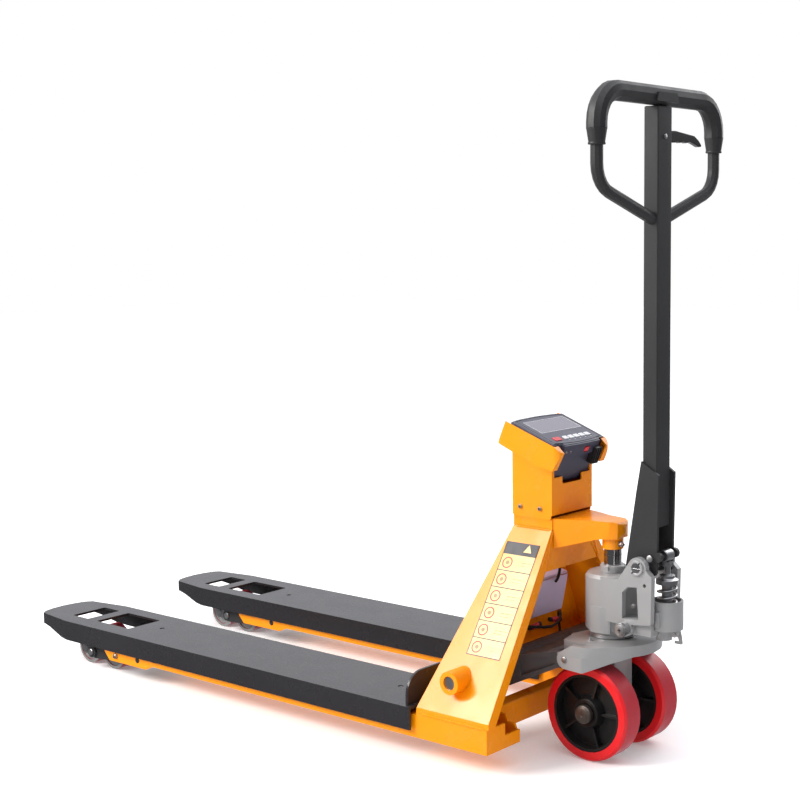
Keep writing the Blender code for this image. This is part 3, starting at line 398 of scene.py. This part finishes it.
def finish_cad(materials):
    """Gives each CAD node its slot's material, with small rounded edges that catch the light."""
    slots = {part["node"]: part["material_slot"] for part in frame["record"]["subparts"]}
    for name, obj in frame["nodes"].items():
        obj.data.materials.clear()
        obj.data.materials.append(materials[slots[name]])
        usual = SHEET_EDGE if name.startswith(SHEETS) else SMALL_EDGE
        smooth_edges(obj, SOFT_EDGES.get(name, usual) * MM)


def smooth_edges(obj, width):
    if "custom_normal" in obj.data.attributes:
        obj.data.attributes.remove(obj.data.attributes["custom_normal"])
    obj.data.polygons.foreach_set("use_smooth", [True] * len(obj.data.polygons))
    weld = obj.modifiers.new("weld", "WELD")
    weld.merge_threshold = 1e-5
    edge = obj.modifiers.new("edge", "BEVEL")
    edge.width, edge.segments = width, 2
    edge.limit_method, edge.angle_limit = "ANGLE", math.radians(32)
    shade = obj.modifiers.new("shade", "WEIGHTED_NORMAL")
    shade.keep_sharp = True


# ---------------------------------------------------------------- building pieces


def raw_object(name, bm):
    bmesh.ops.remove_doubles(bm, verts=bm.verts, dist=1e-6)
    bmesh.ops.recalc_face_normals(bm, faces=bm.faces)
    mesh = bpy.data.meshes.new(name)
    bm.to_mesh(mesh)
    bm.free()
    obj = bpy.data.objects.new(name, mesh)
    bpy.context.scene.collection.objects.link(obj)
    return obj


def piece(name, bm, material, body, smooth=True):
    """A finished mesh that rides on a CAD body."""
    obj = raw_object(name, bm)
    obj.data.materials.append(material)
    if smooth:
        obj.data.set_sharp_from_angle(angle=math.radians(38))
    obj.data.polygons.foreach_set("use_smooth", [smooth] * len(obj.data.polygons))
    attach(obj, body)
    return obj


def along(direction):
    """The turn that lays +Z along a direction."""
    return Vector(direction).to_track_quat("Z", "Y").to_matrix().to_4x4()


def facing(place, direction):
    """A frame at a place, with Z along a direction."""
    return Matrix.Translation(place) @ along(direction)


def in_mm(profile):
    return [(radius * MM, height * MM) for radius, height in profile]


def disc(radius, low, high):
    return [(0, low), (radius, low), (radius, high), (0, high)]


def head(radius, shoulder, top_radius, height, sunk=0.0):
    """The profile of a flat round head with a sloped edge, from a little under its face, in millimetres."""
    return in_mm([(0, -sunk), (radius, -sunk), (radius, shoulder), (top_radius, height), (0, height)])


def turned(bm, profile, matrix, steps=32):
    """Adds a profile of (radius, height) turned about the Z axis of a matrix."""
    rings = []
    for radius, height in profile:
        count = 1 if radius == 0 else steps
        ring = []
        for step in range(count):
            angle = 2 * math.pi * step / steps
            point = Vector((radius * math.cos(angle), radius * math.sin(angle), height))
            ring.append(bm.verts.new(matrix @ point))
        rings.append(ring)
    for low, high in zip(rings, rings[1:]):
        for step in range(steps):
            following = (step + 1) % steps
            corners = [low[step % len(low)], low[following % len(low)]]
            corners += [high[following % len(high)], high[step % len(high)]]
            corners = list(dict.fromkeys(corners))
            if len(corners) > 2:
                bm.faces.new(corners)


def slab(bm, size, matrix, bevel=0.0):
    made = bmesh.ops.create_cube(bm, size=1.0, matrix=matrix @ Matrix.Diagonal((*size, 1)))
    if bevel:
        edges = list({edge for vert in made["verts"] for edge in vert.link_edges})
        bmesh.ops.bevel(bm, geom=edges, offset=bevel, segments=2, affect="EDGES", profile=0.5)


def swept(bm, points, radius, around=10):
    """Adds a round rod along points. The radius is a number, or a function of the share of the way along."""
    rings, side = [], None
    for index, point in enumerate(points):
        ahead = points[min(index + 1, len(points) - 1)] - points[max(index - 1, 0)]
        ahead.normalize()
        if side is None:
            side = ahead.orthogonal().normalized()
        side = (side - ahead * side.dot(ahead)).normalized()
        up = ahead.cross(side)
        size = radius(index / (len(points) - 1)) if callable(radius) else radius
        ring = []
        for step in range(around):
            angle = 2 * math.pi * step / around
            ring.append(bm.verts.new(point + (side * math.cos(angle) + up * math.sin(angle)) * size))
        rings.append(ring)
    for low, high in zip(rings, rings[1:]):
        for step in range(around):
            following = (step + 1) % around
            bm.faces.new((low[step], low[following], high[following], high[step]))
    bm.faces.new(rings[0])
    bm.faces.new(rings[-1])


def socket_screw(bm, place, direction, radius, height):
    """A button head with a six-sided socket, standing on a face."""
    matrix = facing(place, direction)
    sunk = 0.3 * MM
    dome = [(0, -sunk), (radius, -sunk), (radius, height * 0.35), (radius * 0.86, height * 0.8),
            (radius * 0.66, height), (radius * 0.5, height)]
    turned(bm, dome, matrix, 24)
    turned(bm, [(radius * 0.5, height), (radius * 0.46, height * 0.3), (0, height * 0.3)], matrix, 6)


def hex_nut(bm, place, direction, across_flats, height, stud):
    """A nut on a washer, with the end of its stud showing."""
    matrix = facing(place, direction)
    corner = across_flats / math.sqrt(3)
    washer = height * 0.16
    turned(bm, disc(corner * 1.12, 0, washer), matrix, 28)
    nut = [(0, washer), (corner, washer), (corner, height * 0.9), (corner * 0.88, height), (0, height)]
    turned(bm, nut, matrix, 6)
    tip = height + stud
    turned(bm, [(0, height), (corner * 0.55, height), (corner * 0.5, tip), (0, tip)], matrix, 18)


# ---------------------------------------------------------------- fittings on the chassis


def post_plane(side):
    """A frame on the outer face of a post: X along the truck, Y up the slope, Z out of the face. Its origin is
    at the top of the post on the steering axis."""
    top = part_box("frame_post_right")[1].z
    up = Vector((0, -side * POST_LEAN, 1)).normalized()
    forward = Vector((1, 0, 0)) * -side
    out = forward.cross(up)
    matrix = Matrix((forward, up, out)).transposed().to_4x4()
    return Matrix.Translation((steer_axis.x, side * POST_TOP_HALF, top)) @ matrix


def make_sticker(materials):
    """A blank notice on the right post: a dark heading band and six empty rows, each with a plain ring."""
    plane = post_plane(-1)
    width, height, top, centre = 78 * MM, 227 * MM, -33 * MM, -147 * MM
    sheet, band, rule, rows = 0.25 * MM, 25 * MM, 1.6 * MM, 6
    film_layer, print_layer, ink_layer, mark_layer = 0.6, 1.2, 1.4, 2.0

    def place(x, y, layer):
        return plane @ Matrix.Translation((centre + x, top + y, sheet * layer))

    film, ink, rings, bars = bmesh.new(), bmesh.new(), bmesh.new(), bmesh.new()
    slab(film, (width, height, sheet), place(0, -height / 2, film_layer), 0.08 * MM)
    slab(ink, (width, band, sheet), place(0, -band / 2, ink_layer))
    row = (height - band) / rows
    for index in range(rows):
        low = -band - row * (index + 1)
        slab(ink, (width, rule, sheet), place(0, low + rule / 2, ink_layer))
        ring = place(-width * 0.27, low + row / 2, print_layer)
        outer, inner = row * 0.34, row * 0.27
        turned(rings, [(outer, 0), (outer, sheet), (inner, sheet), (inner, 0), (outer, 0)], ring, 32)
        turned(bars, disc(row * 0.13, 0, sheet), ring, 6)
        for offset, length in ((3.0, 0.38), (-3.0, 0.30)):
            bar = place(width * (0.06 + length / 2), low + row / 2 + offset * MM, print_layer)
            slab(bars, (width * length, 1.1 * MM, sheet), bar)
    for side in (-1, 1):
        slab(ink, (rule, height, sheet), place(side * (width / 2 - rule / 2), -height / 2, ink_layer))
    mark = place(width * 0.2, -band / 2, mark_layer) @ Matrix.Rotation(QUARTER, 4, "Z")
    turned(film, disc(band * 0.42, 0, sheet), mark, 3)
    piece("sticker_film", film, materials["sticker_film"], "chassis", smooth=False)
    piece("sticker_lines", ink, materials["sticker_ink"], "chassis", smooth=False)
    piece("sticker_rings", rings, materials["sticker_red"], "chassis", smooth=False)
    piece("sticker_bars", bars, materials["sticker_brown"], "chassis", smooth=False)


def bead(bm, first, last, steps, radius):
    """A weld bead between two points, with its radius given along it."""
    points = [Vector(first).lerp(Vector(last), step / steps) for step in range(steps + 1)]
    swept(bm, points, radius, 8)


def make_welds(materials):
    """Rippled beads where each post stands on its fork channel and meets the top box."""
    ripples = 70

    def radius(share):
        ends = min(1.0, share * 14, (1 - share) * 14)
        return (2.3 + 0.45 * math.sin(share * ripples * 2.1)) * MM * max(ends, 0.25)

    rear, front = steer_axis.x - 182 * MM, steer_axis.x - 97 * MM
    drop, inset = 74 * MM, 24 * MM
    for name, side in SIDES:
        low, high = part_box(f"frame_post_{name}")
        bm = bmesh.new()
        foot_y = side * (high.y if side > 0 else -low.y)
        foot_z = low.z + 0.5 * MM
        bead(bm, (low.x + 6 * MM, foot_y, foot_z), (high.x - 4 * MM, foot_y, foot_z), ripples * 3, radius)
        top_y = side * POST_TOP_HALF
        bead(bm, (rear, top_y, high.z), (front, top_y, high.z), ripples * 2, radius)
        edge_top = (front + 1.5 * MM, top_y - side * 4 * MM, high.z)
        edge_low = (front + 4 * MM, top_y + side * (drop * POST_LEAN - inset), high.z - drop)
        bead(bm, edge_top, edge_low, ripples * 2, radius)
        piece(f"welds_{name}", bm, materials["yellow_paint"], "chassis")


def make_chassis_screws(materials):
    """Button screws in the bracket and the decks, and nuts on the fork channels and the piston's boss."""
    bm = bmesh.new()
    bracket_half, fork_middle = 64.4 * MM, 190 * MM
    bracket_screw_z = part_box("indicator_bracket")[0].z + 19.6 * MM
    deck_screw_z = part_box("load_cell_right_front")[1].z + 1.0 * MM
    for side in (-1, 1):
        for x in (-166 * MM, -120 * MM):
            place = Vector((steer_axis.x + x, side * bracket_half, bracket_screw_z))
            socket_screw(bm, place, (0, side, 0), 4.6 * MM, 4.5 * MM)
    for name, side in SIDES:
        for x in (-1072 * MM, -363 * MM):
            place = Vector((steer_axis.x + x, side * fork_middle, deck_screw_z))
            socket_screw(bm, place, (0, 0, 1), 5.2 * MM, 2.6 * MM)
        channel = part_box(f"fork_channel_{name}")
        wall = max(abs(channel[0].y), abs(channel[1].y))
        place = Vector((steer_axis.x - 1135 * MM, side * wall, 45 * MM))
        hex_nut(bm, place, (0, side, 0), 10 * MM, 5 * MM, 2 * MM)
    boss_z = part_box("frame_top_box")[0].z + 54 * MM
    place = Vector((steer_axis.x + 19 * MM, -4 * MM, boss_z))
    hex_nut(bm, place, (0.94, -0.34, 0), 9 * MM, 7 * MM, 4 * MM)
    piece("chassis_screws", bm, materials["zinc"], "chassis")


def make_connectors(materials):
    """Red plugs and black collars where the cables meet under the junction box."""
    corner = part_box("cable_load_cells")[1]
    red, black = bmesh.new(), bmesh.new()
    barrels = ((red, 0, 17, 5.2), (black, -11.5, 7, 4.6), (black, 11.5, 7, 4.6))
    for y, tilt in ((-34, 0.175), (30, -0.14)):
        place = Vector((corner.x - (12 + abs(y) * 0.18) * MM, y * MM, corner.z - 7.5 * MM))
        direction = Vector((0.25, 1, tilt)).normalized()
        for bm, offset, length, radius in barrels:
            half = length / 2
            barrel = in_mm([(0, -half), (radius * 0.85, -half), (radius, -half * 0.8), (radius, half * 0.8),
                            (radius * 0.85, half), (0, half)])
            turned(bm, barrel, facing(place + direction * offset * MM, direction), 20)
    piece("cable_plugs", red, materials["red_plastic"], "chassis")
    piece("cable_collars", black, materials["cable_rubber"], "chassis")


# ---------------------------------------------------------------- fittings on the indicator


def face_frame():
    """A frame on the indicator's face: X down its slope, Y across, Z out of the face."""
    window = middle("indicator_window")
    return Matrix.Translation(window) @ Matrix.Rotation(math.atan(FACE_SLOPE), 4, "Y")


def face_border(face):
    """Points of the groove round the face: straight at the sides, arched at the front and back."""
    centre_x, centre_y, half, steps = 17.05, -3.5, 72, 12
    points = []
    for start, end, middle_x, arch in ((-half, half, 56.0, -7.0), (half, -half, -53.0, 4.5)):
        for step in range(steps + 1):
            y = start + (end - start) * step / steps
            x = middle_x + arch * (y / half) ** 2
            points.append(face @ Vector(((x + centre_x) * MM, (y + centre_y) * MM, 0.7 * MM)))
    return points + [points[0]]


def make_face_lines(materials, face):
    """A pale line round the display and a tick under each key."""
    low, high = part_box("indicator_window")
    width = high.y - low.y
    depth = (high.x - low.x) * math.hypot(1, FACE_SLOPE)
    line, thick, raised = 0.9 * MM, 0.3 * MM, 0.5 * MM
    bm = bmesh.new()
    for sign in (-1, 1):
        slab(bm, (line, width + line, thick), face @ Matrix.Translation((sign * depth / 2, 0, raised)))
        slab(bm, (depth, line, thick), face @ Matrix.Translation((0, sign * width / 2, raised)))
    for number in range(1, 6):
        key = face.inverted() @ middle(f"key_{number}")
        tick = Matrix.Translation((key.x + 10 * MM, key.y, raised + thick))
        slab(bm, (1.0 * MM, 3.2 * MM, thick), face @ tick)
    piece("indicator_lines", bm, materials["key_plastic"], "chassis", smooth=False)


def make_case_front(materials, face):
    """A groove round the face, drawn as a dark bead of painted shade. On the front of the case are two
    sockets, a seam, a ribbed clip and studs.
    """
    switch = face.inverted() @ middle("power_switch")
    front = face @ Matrix.Translation((switch.x, 0, switch.z))
    dark, studs = bmesh.new(), bmesh.new()

    def block(size, place, rounding):
        sides, centre = (tuple(part * MM for part in triple) for triple in (size, place))
        slab(dark, sides, front @ Matrix.Translation(centre), rounding * MM)

    # The groove is not cut: a black bead of painted shade follows it on the face.
    swept(dark, face_border(face), 0.75 * MM, 8)
    for y, wide in ((-44, 10), (-31, 7)):
        block((3.4, wide, 8), (0, y, 0), 0.6)
    block((2.4, 128, 1.2), (-0.6, 0, -10.5), 0.3)
    clip_y, clip_z = 47, -16
    block((15, 22, 34), (1, clip_y, clip_z), 1.2)
    for rib in (-1, 0, 1):
        block((2.4, 2.6, 31), (9.2, clip_y + rib * 6.5, clip_z), 0.6)
    piece("indicator_sockets_and_groove_shade", dark, materials["black_plastic"], "chassis")
    for y in (-51, -37.5):
        place = (front @ Matrix.Translation((1.4 * MM, y * MM, 0))).translation
        socket_screw(studs, place, (1, 0, -FACE_SLOPE), 2.2 * MM, 2.2 * MM)
    piece("indicator_studs", studs, materials["zinc"], "chassis")


def make_indicator_trim(materials):
    face = face_frame()
    make_face_lines(materials, face)
    make_case_front(materials, face)


# ---------------------------------------------------------------- fittings on the pump and wheels


def make_spring(materials):
    """The wound wire under the plunger's cap."""
    low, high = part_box("return_spring")
    wire = 2.2 * MM
    radius = (high.y - low.y) / 2 - wire
    centre = middle("pump_plunger")
    coils, per_turn = 5.5, 30
    steps = int(coils * per_turn)
    points = []
    for step in range(steps + 1):
        angle = 2 * math.pi * step / per_turn
        height = low.z + wire + (high.z - low.z - 2 * wire) * step / steps
        points.append(Vector((centre.x + radius * math.cos(angle), radius * math.sin(angle), height)))
    bm = bmesh.new()
    swept(bm, points, wire, 12)
    spring = piece("spring_wire", bm, materials["steel"], "plunger")
    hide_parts("return_spring")
    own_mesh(spring)


def make_pump_fittings(materials):
    """A cap on the valve plug with a crossed slot drawn as two dark bars of painted shade, and a screw on the
    side of the housing.
    """
    metal, dark = bmesh.new(), bmesh.new()
    plug = middle("valve_plug")
    face = Vector((plug.x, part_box("valve_plug")[0].y, plug.z))
    turned(metal, head(9.5, 1.2, 6.5, 1.8, sunk=0.4), facing(face, (0, -1, 0)), 28)
    # The slot is not cut: two dark bars of painted shade lie on the cap where its shade would be.
    slot = Matrix.Translation(face + Vector((0, -1.9 * MM, 0)))
    for width, height in ((7, 1.6), (1.6, 7)):
        slab(dark, (width * MM, 0.8 * MM, height * MM), slot)
    screw = Vector((steer_axis.x + 72 * MM, -39 * MM, 292 * MM))
    socket_screw(metal, screw, (0, -1, 0), 4 * MM, 5 * MM)
    piece("pump_fittings", metal, materials["zinc"], "pump")
    piece("pump_slot_shade", dark, materials["painted_slot_shade"], "pump")


def make_pin_collars(materials):
    """A slotted collar round each end of the handle's pivot pin; the slots are dark slabs of painted shade,
    not cuts.
    """
    collars, dark = bmesh.new(), bmesh.new()
    low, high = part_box("handle_pivot_pin")
    pin = middle("handle_pivot_pin")
    collar = in_mm([(9.5, -3), (9.5, 0.7), (10.4, 1.2), (13, 1.2), (14, 0.4), (14, -3), (9.5, -3)])
    for side, end in ((-1, low.y), (1, high.y)):
        face = facing((pin.x, end, pin.z), (0, side, 0))
        turned(collars, collar, face, 32)
        # Each notch is a dark slab of painted shade laid on the collar.
        for angle in (0.9, 0.9 + math.pi):
            notch = face @ Matrix.Rotation(angle, 4, "Z") @ Matrix.Translation((11.2 * MM, 0, 1.0 * MM))
            slab(dark, (4.6 * MM, 2.4 * MM, 0.8 * MM), notch)
    piece("pin_collars", collars, materials["silver_paint"], "pump")
    piece("pin_notch_shade", dark, materials["painted_slot_shade"], "pump")


def make_piston_ring(materials):
    """A dark ring near the top of the lift piston."""
    bm = bmesh.new()
    low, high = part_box("lift_piston")
    radius = (high.x - low.x) / 2
    inner, outer, tall = radius - 0.6 * MM, radius + 0.15 * MM, 1.2 * MM
    place = Matrix.Translation((steer_axis.x, 0, high.z - 12 * MM))
    turned(bm, [(inner, 0), (outer, 0), (outer, tall), (inner, tall), (inner, 0)], place, 40)
    piece("piston_groove", bm, materials["axle_steel"], "chassis")


def make_shaft_caps(materials):
    """The bright middle of each end of the rocker's shaft."""
    bm = bmesh.new()
    low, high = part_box("rocker")
    shaft_x, shaft_z = steer_axis.x - 177 * MM, 157.7 * MM
    for side, end in ((-1, low.y), (1, high.y)):
        turned(bm, head(11.6, 0.5, 10.2, 1.1), facing((shaft_x, end, shaft_z), (0, side, 0)), 32)
    piece("shaft_caps", bm, materials["axle_steel"], "rocker")


def make_bearing_covers(materials):
    """A ring over the bearing on the outer side of each steering wheel's hub."""
    ring = in_mm([(19.2, -3), (19.2, 0.6), (21, 1.4), (25.5, 1.4), (26.5, 0.4), (26.5, -3)])
    for name, side in SIDES:
        low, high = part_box(f"steer_hub_{name}")
        centre = middle(f"steer_hub_{name}")
        bm = bmesh.new()
        outer = low.y if side < 0 else high.y
        turned(bm, ring, facing((centre.x, outer, centre.z), (0, side, 0)), 40)
        piece(f"bearing_cover_{name}", bm, materials["hub_iron"], f"steer_wheel_{name}")


def make_axle_ends(materials):
    """A chamfer and a centre mark on each end of the axle."""
    bm = bmesh.new()
    low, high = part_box("wheel_axle")
    axle = middle("wheel_axle")
    end = in_mm([(0, 0.2), (3.2, 0.2), (4, 1.2), (12.5, 1.2), (14, 0.4), (14, -1)])
    for side, edge in ((-1, low.y), (1, high.y)):
        turned(bm, end, facing((axle.x, edge, axle.z), (0, side, 0)), 36)
    piece("axle_ends", bm, materials["axle_steel"], "pump")


def make_bogie_caps(materials):
    """Caps on the load rollers' axles and on the pin in the middle of each bogie."""
    inner_face, outer_face = 142.5 * MM, 247.5 * MM
    pin_end = in_mm([(0, 0), (7, 0), (6, 0.9), (0, 0.9)])
    for name, side in SIDES:
        bm = bmesh.new()
        for end in ("front", "rear"):
            roller = middle(f"load_roller_{name}_{end}")
            for face, out in ((inner_face, -1), (outer_face, 1)):
                cap = facing((roller.x, side * face, roller.z), (0, side * out, 0))
                turned(bm, head(8.5, 1.2, 7, 1.9), cap, 24)
        low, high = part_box(f"bogie_{name}")
        pin = middle(f"bogie_{name}")
        for face, out in ((low.y, -1), (high.y, 1)):
            turned(bm, pin_end, facing((pin.x, face, pin.z), (0, out, 0)), 24)
        piece(f"bogie_caps_{name}", bm, materials["zinc"], f"bogie_{name}")


def make_base_fittings(materials):
    """A raised round pad and a grease nipple on each ear of the base plate."""
    bm = bmesh.new()
    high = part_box("base_plate")[1]
    nipple = in_mm([(0, -0.5), (4, -0.5), (4, 2), (1.8, 3), (1.8, 5), (2.4, 6), (0, 7)])
    for side in (-1, 1):
        pad = facing((steer_axis.x - 30.5 * MM, side * high.y, 191 * MM), (0, side, 0))
        turned(bm, head(5.6, 0.5, 4.6, 1.0), pad, 24)
        turned(bm, nipple, facing((steer_axis.x - 8 * MM, side * 62 * MM, high.z), (0, 0, 1)), 18)
    piece("base_fittings", bm, materials["zinc"], "base")


def make_grip_bands(materials):
    """Raised bands at the two ends of the grip."""
    bm = bmesh.new()
    half_width = 190 * MM
    band = in_mm([(11.5, -0.8), (14.6, -0.8), (15.2, 1.0), (14.6, 3), (13.0, 3.4)])
    for side in (-1, 1):
        place = (middle("handle_loop").x, side * half_width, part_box("handle_grip")[0].z)
        turned(bm, band, Matrix.Translation(place), 32)
    piece("grip_bands", bm, materials["grip_rubber"], "drawbar")


def make_rivets(materials):
    """Rivets through the tube at the hand lever, and on the two sides of the bracket."""
    bm = bmesh.new()
    for end, out in zip(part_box("drawbar_tube"), (-1, 1)):
        place = facing((end.x, 0, middle("hand_lever").z), (out, 0, 0))
        turned(bm, head(4.6, 0.8, 3.8, 1.4, sunk=0.2), place, 24)
    for end, out in zip(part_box("drawbar_bracket"), (-1, 1)):
        place = facing((steer_axis.x + 105 * MM, end.y, 383 * MM), (0, out, 0))
        turned(bm, head(6.2, 0.9, 5.2, 1.4, sunk=0.3), place, 24)
    piece("lever_rivets", bm, materials["zinc"], "drawbar")


make_camera()
make_studio()
materials = make_materials()
finish_cad(materials)
make_sticker(materials)
make_welds(materials)
make_chassis_screws(materials)
make_connectors(materials)
make_indicator_trim(materials)
make_spring(materials)
make_pump_fittings(materials)
make_pin_collars(materials)
make_piston_ring(materials)
make_shaft_caps(materials)
make_bearing_covers(materials)
make_axle_ends(materials)
make_bogie_caps(materials)
make_base_fittings(materials)
make_grip_bands(materials)
make_rivets(materials)
